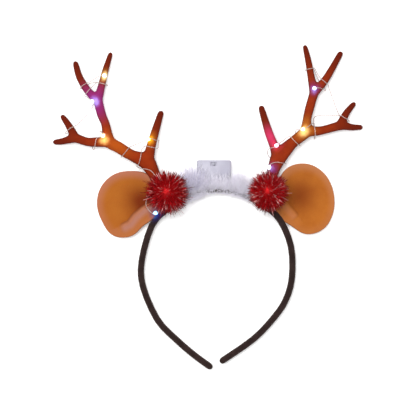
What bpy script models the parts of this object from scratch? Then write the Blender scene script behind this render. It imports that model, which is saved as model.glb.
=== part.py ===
"""A reindeer antler headband lying on its back: metres, +Z up, so the front of the headband faces up.

X runs across the hoop and Y from its open end to its top. Left and right are as seen from the front.
"""

import math
import random
from collections import namedtuple

import bmesh
import bpy
from mathutils import Vector

# Gap between pieces that touch on the real headband
CLEARANCE = 0.0003

# Hoop: outer width, outer height from the top to the lower tip, and the bar's section
HOOP_WIDTH = 0.140
HOOP_HEIGHT = 0.162
BAND_THICKNESS = 0.006
BAND_DEPTH = 0.009
# How far the hoop's top is raised off the surface that its tips lie on
BAND_LIFT = 0.004

# Antlers: the unit of their tables, and the radius at the foot
ANTLER_HEIGHT = 0.140
ANTLER_RADIUS = 0.0055

# Ears
EAR_LENGTH = 0.060
EAR_WALL = 0.0022
EAR_CUP = 0.006
EAR_FOLD = 0.003
EAR_REST = 0.0008
# The cup's depth round the ear, as shares: its middle, and how much more it is toward the hoop
EAR_CUP_MIDDLE = 0.62
EAR_CUP_SWING = 0.38
# The share of the reach over which the fold rises
EAR_FOLD_RAMP = 0.2

# Pompoms: radius over the tips of the locks, and how far the locks stand out
POMPOM_RADIUS = 0.0175
POMPOM_LOCK = 0.0042
# The height of a pompom's middle over its flat back, as a share of its radius
POMPOM_STAND = 0.7
# A lock's tip: its height, and how far it may lean, as shares of the lock's length
LOCK_TIP = 0.75
LOCK_LEAN = 0.25

# Fur trim: radius over the tips of the locks, and how far the locks stand out
FUR_RADIUS = 0.0128
FUR_LOCK = 0.0030
FUR_REST = 0.0006
# How far the fur's middle lies out from the hoop's, as a share of its radius
FUR_OUT = 0.62

# Battery case and its slide switch
CASE_WIDTH = 0.030
CASE_HEIGHT = 0.0225
CASE_DEPTH = 0.010
CASE_SHIFT = -0.0029
CASE_ROUND = 0.0012
SLOT_WIDTH = 0.0054
SLOT_HEIGHT = 0.0034
SLOT_DEPTH = 0.0016
SLOT_FROM_TOP = 0.0034
KNOB_WIDTH = 0.0022
KNOB_PROUD = 0.0008

# Light wires and the beads on them
WIRE_DIAMETER = 0.0007
LED_LENGTH = 0.0038
LED_DIAMETER = 0.0032
# A bead's shoulder: its radius and its distance from the middle, as shares of the full ones
LED_SHOULDER_RADIUS = 0.72
LED_SHOULDER_REACH = 0.62
LED_SIDES = 8

# Fineness of the faceted solids
BAND_SIDES = 10
BAND_STATIONS = 3
LIMB_STEPS = 3
# Sections of a limb's round tip, as shares of its radius
TIP_REACHES = (0.45, 0.80, 0.97)
SKIN_SIZE = 0.0011
SKIN_EASE = 3
SKIN_SHARE = 0.083
EAR_SPOKES = 22
EAR_RINGS = 5
EAR_STEPS = 10
WIRE_SPAN_STEPS = 5
WIRE_SLACK = 0.0007
WIRE_THIN = 0.0005
WIRE_ROUNDS = 4
# The most degrees between two points of a wire round a limb
WRAP_STEP = 60
# Where the wire runs beside the hoop, as shares of the fur's length
WIRE_BESIDE = (0.5, 0.75, 1.0)
# How much wider a limb is where it leaves a fork, with the web between the limbs
FORK_FLARE = 1.25
FORK_FLARE_STEP = 0.08
SEED = 7

# Finishes: colour, roughness and metallic
VELOUR = ((0.035, 0.020, 0.016), 0.9, 0.0)
FLOCK = ((0.20, 0.055, 0.030), 0.95, 0.0)
FELT = ((0.45, 0.20, 0.07), 0.95, 0.0)
TINSEL = ((0.55, 0.01, 0.04), 0.35, 0.0)
FUR = ((0.85, 0.83, 0.90), 0.95, 0.0)
CASE_PLASTIC = ((0.80, 0.82, 0.86), 0.35, 0.0)
KNOB_PLASTIC = ((0.75, 0.75, 0.78), 0.4, 0.0)
WIRE_METAL = ((0.75, 0.74, 0.76), 0.35, 0.9)
LED_ROUGHNESS = 0.15

WIRE_ROOM = WIRE_DIAMETER + 2 * CLEARANCE
BAND_HALF_WIDTH = (HOOP_WIDTH - BAND_THICKNESS) / 2
BAND_DROP = HOOP_HEIGHT - BAND_THICKNESS

# The hoop's centre line from its top to each tip: across as a share of its half width, down of its drop
BAND_LINES = {
    "left": [
        (0.193, 0.0085),
        (0.403, 0.0395),
        (0.648, 0.108),
        (0.860, 0.203),
        (0.994, 0.403),
        (0.978, 0.549),
        (0.790, 0.735),
        (0.550, 0.845),
        (0.309, 0.935),
        (0.099, 1.001),
    ],
    "right": [
        (0.193, 0.0085),
        (0.403, 0.0395),
        (0.626, 0.094),
        (0.824, 0.172),
        (0.969, 0.322),
        (0.981, 0.501),
        (0.897, 0.628),
        (0.743, 0.726),
        (0.476, 0.846),
        (0.068, 0.968),
    ],
}

# Where each side's pieces sit. Seats are shares of the hoop's drop. Offsets out from and up from a seat
# are shares of the pompom's radius and of half the ear's length.
Side = namedtuple("Side", "sign antler_seat ear_seat pompom_out pompom_up ear_out ear_up fur_end")
SIDES = {
    "left": Side(-1, 0.1045, 0.140, 0.07, 0.81, 0.907, 0.267, 0.046),
    "right": Side(1, 0.0820, 0.144, 0.25, 0.67, 0.907, 0.453, 0.036),
}

# Joints of the antlers: how far out from the foot and up from it on the left and on the right, as shares
# of the antler's height, the height of the centre as a share of the foot's (None rests on the surface),
# and the radius as a share of the foot's.
Joint = namedtuple("Joint", "left_out left_up right_out right_up lift radius")
JOINTS = {
    "foot": Joint(0.000, 0.000, 0.000, 0.000, 1.00, 0.95),
    "collar": Joint(0.092, 0.214, 0.069, 0.201, 1.00, 0.98),
    "throat": Joint(0.157, 0.282, 0.105, 0.261, 1.04, 0.86),
    "brow_fork": Joint(0.130, 0.302, 0.098, 0.302, 1.06, 0.98),
    "brow_low": Joint(0.112, 0.384, 0.077, 0.365, 1.12, 0.78),
    "brow_mid": Joint(0.088, 0.472, 0.043, 0.453, 1.05, 0.71),
    "brow_tip": Joint(0.051, 0.597, -0.001, 0.604, 0.62, 0.54),
    "beam": Joint(0.228, 0.328, 0.191, 0.384, 1.18, 0.92),
    "bend": Joint(0.315, 0.381, 0.235, 0.418, 1.20, 0.95),
    "main_fork": Joint(0.375, 0.419, 0.276, 0.457, 1.18, 0.98),
    "side": Joint(0.504, 0.414, 0.371, 0.461, 1.06, 0.73),
    "side_fork": Joint(0.586, 0.438, 0.491, 0.492, 0.92, 0.74),
    "side_mid": Joint(0.666, 0.421, 0.565, 0.484, 0.62, 0.58),
    "side_tip": Joint(0.718, 0.416, 0.625, 0.484, None, 0.48),
    "spur_mid": Joint(0.631, 0.520, 0.534, 0.574, 0.72, 0.60),
    "spur_tip": Joint(0.669, 0.575, 0.581, 0.630, 0.50, 0.47),
    "upper_low": Joint(0.396, 0.524, 0.284, 0.531, 1.12, 0.73),
    "upper_high": Joint(0.423, 0.586, 0.298, 0.592, 1.06, 0.77),
    "crown_fork": Joint(0.446, 0.679, 0.329, 0.698, 1.00, 0.77),
    "outer_low": Joint(0.506, 0.732, 0.391, 0.769, 0.92, 0.67),
    "outer_mid": Joint(0.563, 0.824, 0.440, 0.846, 0.72, 0.60),
    "outer_tip": Joint(0.589, 0.911, 0.497, 0.948, None, 0.51),
    "inner_low": Joint(0.419, 0.784, 0.309, 0.811, 0.95, 0.62),
    "inner_mid": Joint(0.399, 0.868, 0.293, 0.905, 0.80, 0.56),
    "inner_tip": Joint(0.369, 0.969, 0.274, 0.990, 0.50, 0.45),
}
# The trunk's lower edge runs on into the beam through a second, shorter limb
THROAT = ["collar", "throat", "beam"]
LIMBS = [
    ["foot", "collar", "brow_fork", "beam", "bend", "main_fork", "upper_low", "upper_high", "crown_fork"],
    ["crown_fork", "outer_low", "outer_mid", "outer_tip"],
    ["crown_fork", "inner_low", "inner_mid", "inner_tip"],
    ["brow_fork", "brow_low", "brow_mid", "brow_tip"],
    THROAT,
    ["main_fork", "side", "side_fork", "side_mid", "side_tip"],
    ["side_fork", "spur_mid", "spur_tip"],
]

# The ears' outlines: turn in degrees from straight outward over the top, and each ear's reach as a share
# of half the ear's length. Toward the hoop, at 180, they run on to the band, which trims them.
EAR_OUTLINE = [
    (0, 0.985, 0.820),
    (30, 1.020, 0.843),
    (60, 1.030, 0.940),
    (90, 1.010, 1.050),
    (120, 1.050, 1.090),
    (150, 1.033, 1.000),
    (180, 1.000, 1.000),
    (210, 0.790, 1.040),
    (240, 0.730, 0.890),
    (270, 0.925, 1.007),
    (300, 1.027, 0.987),
    (330, 0.963, 0.880),
]
# The fold at each ear's foot: it spans these turns, and starts at this share of the reach
EAR_FOLDS = {"left": (175, 305, 0.50), "right": (180, 262, 0.62)}

# The light wires' routes. A row passes round a limb between two joints: at these shares of the way from
# the first joint to the second, from one turn round the limb to another. A turn of 0 is the side toward
# the middle of the headband or, on a limb that runs outward, its upper side, 90 is the front, 180 the far
# side and 270 the back. Where a row has a colour, a bead of it sits at the row's end.
Wrap = namedtuple("Wrap", "start end share_start share_end turn_start turn_end colour")
# A row of the other kind is a free point: out from the antler's foot, up from it, and over the trunk's front
Free = namedtuple("Free", "out up over colour")
ROUTES = {
    "left": [
        Wrap("foot", "collar", 0.20, 0.22, 30, 90, None),
        Free(0.083, -0.032, -0.0010, "blue"),
        Free(0.150, 0.030, -0.0014, None),
        Wrap("foot", "collar", 0.62, 0.66, 150, 90, None),
        Wrap("collar", "brow_fork", 0.25, 0.25, 90, 90, None),
        Wrap("brow_fork", "beam", 0.45, 0.55, 200, 0, None),
        Wrap("brow_fork", "brow_low", 0.95, 1.00, 150, 0, None),
        Wrap("brow_low", "brow_mid", 0.62, 0.42, -20, 125, "yellow"),
        Wrap("beam", "bend", 0.35, 0.65, 0, 240, None),
        Wrap("main_fork", "side", 0.10, 0.22, 340, 415, "amber"),
        Wrap("main_fork", "side", 0.55, 0.95, 60, 300, None),
        Wrap("side_fork", "spur_mid", 0.60, 0.72, 250, 0, None),
        Wrap("upper_high", "crown_fork", 0.60, 0.98, 200, 130, "white"),
        Wrap("crown_fork", "outer_low", 0.95, 1.00, 160, 20, None),
        Wrap("crown_fork", "inner_low", 0.95, 1.00, 160, -160, None),
        Wrap("outer_low", "outer_mid", 0.40, 0.42, -20, -340, None),
        Wrap("inner_low", "inner_mid", 0.40, 0.52, 160, 85, "amber"),
    ],
    "right": [
        Wrap("foot", "collar", 0.30, 0.34, 20, 80, None),
        Wrap("collar", "brow_fork", 0.20, 0.20, 60, 60, "blue"),
        Wrap("collar", "brow_fork", 0.62, 0.80, 90, 320, None),
        Wrap("brow_fork", "brow_low", 0.80, 0.95, 385, 465, "pink"),
        Wrap("beam", "bend", 0.15, 0.75, 10, 300, None),
        Wrap("bend", "main_fork", 0.50, 0.85, 370, 430, "amber"),
        Wrap("main_fork", "side", 0.45, 0.60, 0, 300, None),
        Wrap("upper_low", "upper_high", 0.60, 0.62, 180, 180, None),
        Wrap("side_fork", "spur_mid", 0.50, 0.62, 20, 320, None),
        Wrap("crown_fork", "outer_low", 0.95, 1.00, 190, 20, None),
        Wrap("inner_low", "inner_mid", 0.35, 0.42, 160, -150, None),
        Wrap("crown_fork", "inner_low", 0.16, 0.20, 190, 95, "white"),
    ],
}
LED_COLOURS = {
    "blue": (0.10, 0.20, 1.00),
    "yellow": (1.00, 0.75, 0.15),
    "amber": (1.00, 0.50, 0.10),
    "white": (0.80, 0.90, 1.00),
    "pink": (1.00, 0.25, 0.60),
}


def material(name, colour, roughness, metallic=0.0):
    made = bpy.data.materials.new(name)
    made.use_nodes = True
    shader = made.node_tree.nodes["Principled BSDF"]
    shader.inputs["Base Color"].default_value = (*colour, 1.0)
    shader.inputs["Roughness"].default_value = roughness
    shader.inputs["Metallic"].default_value = metallic
    return made


def add_object(name, data, surface=None, location=(0, 0, 0)):
    """A piece, or a hidden guide if it has no surface, under the headband's empty."""
    piece = bpy.data.objects.new(name, data)
    bpy.context.collection.objects.link(piece)
    piece.location = location
    piece.parent = root
    if surface:
        data.materials.append(surface)
    else:
        piece.hide_render = True
        piece.display_type = "WIRE"
    return piece


def mesh_from(shape, name):
    mesh = bpy.data.meshes.new(name)
    bmesh.ops.recalc_face_normals(shape, faces=shape.faces)
    shape.to_mesh(mesh)
    shape.free()
    mesh.shade_smooth()
    mesh.set_sharp_from_angle(angle=math.radians(50))
    return mesh


def curve_from(name, lines, depth=0.0, fineness=4, profile=None):
    """A tube along each line of (point, share of the radius), with its ends filled."""
    curve = bpy.data.curves.new(name, "CURVE")
    curve.dimensions = "3D"
    curve.twist_mode = "Z_UP" if profile else "MINIMUM"
    for line in lines:
        spline = curve.splines.new("POLY")
        spline.points.add(len(line) - 1)
        for spot, (point, share) in zip(spline.points, line):
            spot.co = (*point, 1.0)
            spot.radius = share
    curve.use_fill_caps = True
    if profile:
        curve.bevel_mode = "OBJECT"
        curve.bevel_object = profile
    else:
        curve.bevel_depth = depth
        curve.bevel_resolution = fineness
    return curve


def mesh_of_curve(curve):
    """The curve's tube as a mesh, made through a passing object."""
    passing = bpy.data.objects.new(curve.name, curve)
    bpy.context.collection.objects.link(passing)
    bpy.context.view_layer.update()
    graph = bpy.context.evaluated_depsgraph_get()
    mesh = bpy.data.meshes.new_from_object(passing.evaluated_get(graph))
    bpy.data.objects.remove(passing)
    shape = bmesh.new()
    shape.from_mesh(mesh)
    bmesh.ops.remove_doubles(shape, verts=shape.verts, dist=CLEARANCE / 10)
    return mesh_from(shape, curve.name)


def cut(piece, cutter):
    boolean = piece.modifiers.new(cutter.name, "BOOLEAN")
    boolean.object = cutter
    boolean.solver = "EXACT"


def smooth_line(points, per_span):
    """Points read from a smooth curve through the given ones, with per_span steps between neighbours."""
    line = []
    for i in range(len(points) - 1):
        before = points[max(i - 1, 0)]
        start, end = points[i], points[i + 1]
        after = points[min(i + 2, len(points) - 1)]
        leave = (end - before) / 2
        arrive = (after - start) / 2
        for step in range(per_span):
            t = step / per_span
            line.append(
                start * (2 * t**3 - 3 * t**2 + 1)
                + leave * (t**3 - 2 * t**2 + t)
                + end * (3 * t**2 - 2 * t**3)
                + arrive * (t**3 - t**2)
            )
    line.append(points[-1])
    return line


def band_line():
    """The hoop's centre line from the left tip over the top to the right tip."""
    points = [band_place(0, 0, 0)]
    for across, down in BAND_LINES["left"]:
        points.insert(0, band_place(-1, across, down))
    for across, down in BAND_LINES["right"]:
        points.append(band_place(1, across, down))
    return smooth_line(points, BAND_STATIONS)


def band_place(sign, across, down):
    lift = BAND_DEPTH / 2 + BAND_LIFT * (1 - down)
    return Vector((sign * across * BAND_HALF_WIDTH, -down * BAND_DROP, lift))


def band_point(sign, down):
    """The point on the hoop's centre line this far down one side, between the line's own points."""
    side = [p for p in band_line() if p.x * sign >= 0]
    side.sort(key=lambda p: -p.y)
    for upper, lower in zip(side, side[1:]):
        if lower.y <= -down * BAND_DROP:
            share = (upper.y + down * BAND_DROP) / (upper.y - lower.y)
            return upper.lerp(lower, share)
    return side[-1]


def band_outward(sign, down):
    """The direction that leads away from the hoop's middle at this point, square to its centre line."""
    step = 0.01
    along = band_point(sign, down + step) - band_point(sign, max(down - step, 0.001))
    return Vector((-along.y * sign, along.x * sign, 0)).normalized()


def band_mesh(name, extra):
    """The hoop's bar, with rounded tips, thicker by this much all round."""
    oval = bpy.data.curves.new(name + "_section", "CURVE")
    spline = oval.splines.new("POLY")
    spline.points.add(BAND_SIDES - 1)
    spline.use_cyclic_u = True
    for i, spot in enumerate(spline.points):
        turn = math.tau * (i + 0.5) / BAND_SIDES
        across = (BAND_THICKNESS / 2 + extra) * math.cos(turn)
        deep = (BAND_DEPTH / 2 + extra) * math.sin(turn)
        spot.co = (across, deep, 0, 1)
    section = add_object(name + "_section", oval)
    line = band_line()
    line = round_end(line[::-1], BAND_THICKNESS / 2)[::-1]
    line = round_end(line, BAND_THICKNESS / 2)
    curve = curve_from(name, [line], profile=section)
    return mesh_of_curve(curve)


def round_end(line, radius):
    """Carries a line past its last point by its radius, and narrows it there to a round tip."""
    line = [point if isinstance(point, tuple) else (point, 1.0) for point in line]
    last, share = line[-1]
    along = (last - line[-2][0]).normalized()
    for reach in TIP_REACHES:
        narrow = math.sqrt(1 - reach**2)
        line.append((last + along * radius * reach, share * narrow))
    return line


def make_headband():
    velour = material("band_velour", *VELOUR)
    mesh = band_mesh("headband", 0.0)
    mesh.shade_smooth()
    return add_object("headband", mesh, velour)


def antler_joint(side, name):
    """A joint's place and radius. Where its lift is None, the limb's tip rests on the surface."""
    place = SIDES[side]
    foot = band_point(place.sign, place.antler_seat)
    row = JOINTS[name]
    out = row.left_out if side == "left" else row.right_out
    up = row.left_up if side == "left" else row.right_up
    radius = row.radius * ANTLER_RADIUS
    height = radius if row.lift is None else row.lift * foot.z
    point = Vector((foot.x + place.sign * out * ANTLER_HEIGHT, foot.y + up * ANTLER_HEIGHT, height))
    return point, radius


def limb_line(side, names):
    """A limb's centre line with the radius at each point, as shares of the foot's."""
    joints = [antler_joint(side, name) for name in names]
    points = smooth_line([point for point, radius in joints], LIMB_STEPS)
    radii = smooth_line([Vector((radius, 0, 0)) for point, radius in joints], LIMB_STEPS)
    line = [(point, radius.x / ANTLER_RADIUS) for point, radius in zip(points, radii)]
    if names[-1].endswith("_tip"):
        line = round_end(line, joints[-1][1])
    return line


def make_antler(side, band_seat):
    flock = material("antler_flock_" + side, *FLOCK)
    lines = [limb_line(side, names) for names in LIMBS]
    curve = curve_from("limbs_" + side, lines, ANTLER_RADIUS, 3)
    antler = add_object("antler_" + side, mesh_of_curve(curve), flock)
    skin = antler.modifiers.new("one skin", "REMESH")
    skin.mode = "VOXEL"
    skin.voxel_size = SKIN_SIZE
    skin.use_smooth_shade = True
    soften = antler.modifiers.new("soften the forks", "SMOOTH")
    soften.factor = 0.5
    soften.iterations = SKIN_EASE
    thin = antler.modifiers.new("fewer faces", "DECIMATE")
    thin.ratio = SKIN_SHARE
    cut(antler, band_seat)
    return antler


def ear_reach(side, turn):
    """The ear's reach this many degrees round from straight outward."""
    column = 1 if side == "left" else 2
    step = 360 / len(EAR_OUTLINE)
    first = int(turn // step)
    rows = [EAR_OUTLINE[(first + k) % len(EAR_OUTLINE)][column] for k in (-1, 0, 1, 2)]
    line = smooth_line([Vector((row, 0, 0)) for row in rows], EAR_STEPS)
    share = (turn - first * step) / step
    return line[EAR_STEPS + round(share * EAR_STEPS)].x * EAR_LENGTH / 2


def ear_height(side, turn, share):
    """The ear's middle surface: a cup that is deepest toward the hoop, with a fold at its foot."""
    toward_hoop = EAR_CUP_MIDDLE - EAR_CUP_SWING * math.cos(math.radians(turn))
    height = EAR_REST + EAR_WALL / 2 + EAR_CUP * share**2 * toward_hoop
    first, last, edge = EAR_FOLDS[side]
    if first < turn < last and share > edge:
        across = math.sin(math.pi * (turn - first) / (last - first))
        height += EAR_FOLD * across * min((share - edge) / EAR_FOLD_RAMP, 1.0)
    return height


def make_ear(side, cutters):
    felt = material("ear_felt_" + side, *FELT)
    place = SIDES[side]
    seat = band_point(place.sign, place.ear_seat)
    half = EAR_LENGTH / 2
    centre = seat + Vector((place.sign * place.ear_out * half, place.ear_up * half, 0))
    shape = bmesh.new()
    middle = shape.verts.new((0, 0, ear_height(side, 0, 0)))
    rings = []
    for ring in range(1, EAR_RINGS + 1):
        share = ring / EAR_RINGS
        spots = []
        for spoke in range(EAR_SPOKES):
            turn = 360 * spoke / EAR_SPOKES
            reach = ear_reach(side, turn) * share
            angle = math.radians(turn)
            spot = (
                place.sign * reach * math.cos(angle),
                reach * math.sin(angle),
                ear_height(side, turn, share),
            )
            spots.append(shape.verts.new(spot))
        rings.append(spots)
    for spoke in range(EAR_SPOKES):
        following = (spoke + 1) % EAR_SPOKES
        shape.faces.new((middle, rings[0][spoke], rings[0][following]))
        for inner, outer in zip(rings, rings[1:]):
            shape.faces.new((inner[spoke], outer[spoke], outer[following], inner[following]))
    ear = add_object("ear_" + side, mesh_from(shape, "ear_" + side), felt, (centre.x, centre.y, 0))
    wall = ear.modifiers.new("felt wall", "SOLIDIFY")
    wall.thickness = EAR_WALL
    wall.offset = 0
    for cutter in cutters:
        cut(ear, cutter)
    return ear


def pompom_centre(side):
    """A pompom stands out from the hoop over the antler's foot, clear of a wire on the trunk's front."""
    place = SIDES[side]
    foot = band_point(place.sign, place.antler_seat)
    out = place.sign * place.pompom_out * POMPOM_RADIUS
    up = place.pompom_up * POMPOM_RADIUS
    back = foot.z + ANTLER_RADIUS + WIRE_ROOM + WIRE_SLACK + CLEARANCE
    return Vector((foot.x + out, foot.y + up, back + POMPOM_STAND * POMPOM_RADIUS)), back


def lock_out(shape, faces, length, seeded):
    """Raises a lock with a bent tip of its own length on each face."""
    made = bmesh.ops.poke(shape, faces=faces, offset=length * LOCK_TIP)
    for tip in made["verts"]:
        sway = Vector([seeded.uniform(-1, 1) for axis in range(3)])
        tip.co += sway * length * LOCK_LEAN
    return made["verts"]


def make_pompom(side):
    tinsel = material("pompom_tinsel_" + side, *TINSEL)
    centre, back = pompom_centre(side)
    seeded = random.Random(SEED + SIDES[side].sign)
    shape = bmesh.new()
    bmesh.ops.create_icosphere(shape, subdivisions=3, radius=POMPOM_RADIUS - POMPOM_LOCK)
    tips = lock_out(shape, shape.faces[:], POMPOM_LOCK, seeded)
    for tip in tips:
        tip.co *= min(1.0, POMPOM_RADIUS / tip.co.length)
    whole = shape.verts[:] + shape.edges[:] + shape.faces[:]
    flat = bmesh.ops.bisect_plane(
        shape, geom=whole, plane_co=(0, 0, back - centre.z), plane_no=(0, 0, -1), clear_outer=True
    )
    rim = [part for part in flat["geom_cut"] if isinstance(part, bmesh.types.BMEdge)]
    bmesh.ops.contextual_create(shape, geom=rim)
    return add_object("pompom_" + side, mesh_from(shape, "pompom_" + side), tinsel, centre)


def ball_guide(name, centre, radius):
    shape = bmesh.new()
    bmesh.ops.create_uvsphere(shape, u_segments=24, v_segments=12, radius=radius)
    return add_object(name, mesh_from(shape, name), None, centre)


def box_guide(name, low, high):
    shape = bmesh.new()
    bmesh.ops.create_cube(shape, size=1.0)
    bmesh.ops.scale(shape, vec=high - low, verts=shape.verts)
    return add_object(name, mesh_from(shape, name), None, (low + high) / 2)


def case_box():
    """The low and high corners of the battery case, which stands on the hoop's top."""
    foot = BAND_THICKNESS / 2 + CLEARANCE
    low = Vector((CASE_SHIFT - CASE_WIDTH / 2, foot, 0))
    return low, low + Vector((CASE_WIDTH, CASE_HEIGHT, CASE_DEPTH))


def make_fur():
    fur = material("fur_white", *FUR)
    line = []
    for point in band_line():
        side = "left" if point.x < 0 else "right"
        down = -point.y / BAND_DROP
        if down > SIDES[side].fur_end:
            continue
        outward = band_outward(SIDES[side].sign, down) if down > 0.001 else Vector((0, 1, 0))
        raised = point + outward * FUR_RADIUS * FUR_OUT
        raised.z = FUR_RADIUS + FUR_REST
        line.append((raised, 1.0))
    curve = curve_from("fur_core", [line], FUR_RADIUS - FUR_LOCK, 4)
    core = mesh_of_curve(curve)
    shape = bmesh.new()
    shape.from_mesh(core)
    locks = [face for face in shape.faces if len(face.verts) == 4]
    lock_out(shape, locks, FUR_LOCK, random.Random(SEED))
    piece = add_object("fur_trim", mesh_from(shape, "fur_trim"), fur)
    tunnel = add_object("fur_tunnel", band_mesh("fur_tunnel", WIRE_ROOM + 2 * WIRE_THIN))
    low, high = case_box()
    around = Vector((CLEARANCE, CLEARANCE, CLEARANCE))
    below = Vector((0, -BAND_THICKNESS, -CASE_DEPTH))
    pocket = box_guide("fur_pocket", low - around + below, high + around + Vector((0, FUR_RADIUS, 0)))
    reach = Vector((HOOP_WIDTH, HOOP_WIDTH, HOOP_WIDTH))
    ground = box_guide("fur_ground", -reach, Vector((reach.x, reach.y, FUR_REST)))
    cutters = [tunnel, pocket, ground]
    for side, place in SIDES.items():
        centre = pompom_centre(side)[0]
        cutters.append(ball_guide("fur_hollow_" + side, centre, POMPOM_RADIUS + 2 * CLEARANCE))
    for cutter in cutters:
        cut(piece, cutter)
    return piece


def make_case():
    plastic = material("case_plastic", *CASE_PLASTIC)
    low, high = case_box()
    shape = bmesh.new()
    bmesh.ops.create_cube(shape, size=1.0)
    bmesh.ops.scale(shape, vec=high - low, verts=shape.verts)
    bmesh.ops.bevel(
        shape,
        geom=shape.edges[:],
        offset=CASE_ROUND,
        segments=2,
        profile=0.5,
        affect="EDGES",
        material=-1,
    )
    case = add_object("battery_case", mesh_from(shape, "battery_case"), plastic, (low + high) / 2)
    slot = slot_centre()
    half = Vector((SLOT_WIDTH / 2, SLOT_HEIGHT / 2, SLOT_DEPTH))
    cut(case, box_guide("switch_slot", slot - half, slot + half))
    return case


def slot_centre():
    """The middle of the slot's mouth, on the case's front face."""
    low, high = case_box()
    return Vector(((low.x + high.x) / 2 - CLEARANCE, high.y - SLOT_FROM_TOP, high.z))


def make_knob():
    plastic = material("knob_plastic", *KNOB_PLASTIC)
    height = SLOT_HEIGHT - 2 * CLEARANCE
    depth = SLOT_DEPTH - CLEARANCE + KNOB_PROUD
    shape = bmesh.new()
    bmesh.ops.create_cube(shape, size=1.0)
    bmesh.ops.scale(shape, vec=(KNOB_WIDTH, height, depth), verts=shape.verts)
    centre = slot_centre() + Vector((0, 0, KNOB_PROUD - depth / 2))
    return add_object("switch_knob", mesh_from(shape, "switch_knob"), plastic, centre)


def limb_frame(side, start, end, share):
    """A point inside a limb, its radius there, and the directions of turns 0 and 90 round it."""
    first, first_radius = antler_joint(side, start)
    last, last_radius = antler_joint(side, end)
    along = (last - first).normalized()
    up = Vector((0, 0, 1))
    inner = up.cross(along).normalized() * SIDES[side].sign
    front = (up - along * up.dot(along)).normalized()
    radius = first_radius + (last_radius - first_radius) * share
    return first.lerp(last, share), radius, inner, front


def wrap_points(side, row):
    """Points round a limb, with one wrap step between them at most."""
    steps = max(1, math.ceil(abs(row.turn_end - row.turn_start) / WRAP_STEP))
    points = []
    for step in range(steps + 1):
        t = step / steps
        share = row.share_start + (row.share_end - row.share_start) * t
        turn = math.radians(row.turn_start + (row.turn_end - row.turn_start) * t)
        centre, radius, inner, front = limb_frame(side, row.start, row.end, share)
        reach = radius + WIRE_DIAMETER / 2 + CLEARANCE + WIRE_SLACK
        if row.colour and step == steps:
            reach = radius + LED_DIAMETER / 2 + 2 * CLEARANCE
        points.append(centre + (inner * math.cos(turn) + front * math.sin(turn)) * reach)
    if row.turn_start == row.turn_end:
        return points[:1]
    return points


def wire_start(side):
    """The wire leaves the case's lower corner and runs along the hoop's outer edge, under the fur."""
    place = SIDES[side]
    low, high = case_box()
    corner = high.x if place.sign > 0 else -low.x
    beside = corner + CLEARANCE + WIRE_DIAMETER / 2
    first = max((p for p in band_line() if p.x * place.sign >= beside), key=lambda p: p.y)
    spots = [(first, -first.y / BAND_DROP)]
    for share in WIRE_BESIDE:
        down = place.fur_end * share
        spots.append((band_point(place.sign, down), down))
    reach = BAND_THICKNESS / 2 + WIRE_ROOM / 2 + WIRE_THIN
    return [point + band_outward(place.sign, down) * reach for point, down in spots]


def wire_stops(side):
    """The wire's chosen points in order, each with the colour of the bead that sits there, or None."""
    place = SIDES[side]
    foot, radius = antler_joint(side, "foot")
    front = foot.z + radius + CLEARANCE + WIRE_SLACK + WIRE_DIAMETER / 2
    stops = [(point, None) for point in wire_start(side)]
    for row in ROUTES[side]:
        if isinstance(row, Free):
            x = foot.x + place.sign * row.out * ANTLER_HEIGHT
            stops.append((Vector((x, foot.y + row.up * ANTLER_HEIGHT, front + row.over)), row.colour))
            continue
        points = wrap_points(side, row)
        stops += [(point, None) for point in points[:-1]]
        stops.append((points[-1], row.colour))
    return stops


def push_clear(point, bones, room):
    """Moves a point straight out of any limb that is nearer than this room to it."""
    for start, end, radius in bones:
        along = end - start
        share = max(0.0, min(1.0, (point - start).dot(along) / along.length_squared))
        axis = start + along * share
        away = point - axis
        if away.length < radius + room:
            point = axis + away.normalized() * (radius + room)
    return point


def settle(points, bones, room):
    """Evens out a run of wire between its ends, and keeps it clear of the limbs."""
    for again in range(WIRE_ROUNDS):
        evened = points[:1]
        for before, point, after in zip(points, points[1:], points[2:]):
            evened.append(push_clear((point + (before + after) / 2) / 2, bones, room))
        points = evened + points[-1:]
    return points


def thin_out(points, most):
    """Drops the points that a straight run passes within this distance of."""
    if len(points) < 3:
        return points
    chord = points[-1] - points[0]
    gaps = []
    for point in points[1:-1]:
        share = max(0.0, min(1.0, (point - points[0]).dot(chord) / max(chord.length_squared, 1e-12)))
        gaps.append((point - points[0] - chord * share).length)
    if max(gaps) <= most:
        return [points[0], points[-1]]
    widest = gaps.index(max(gaps)) + 1
    return thin_out(points[: widest + 1], most)[:-1] + thin_out(points[widest:], most)


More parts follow.
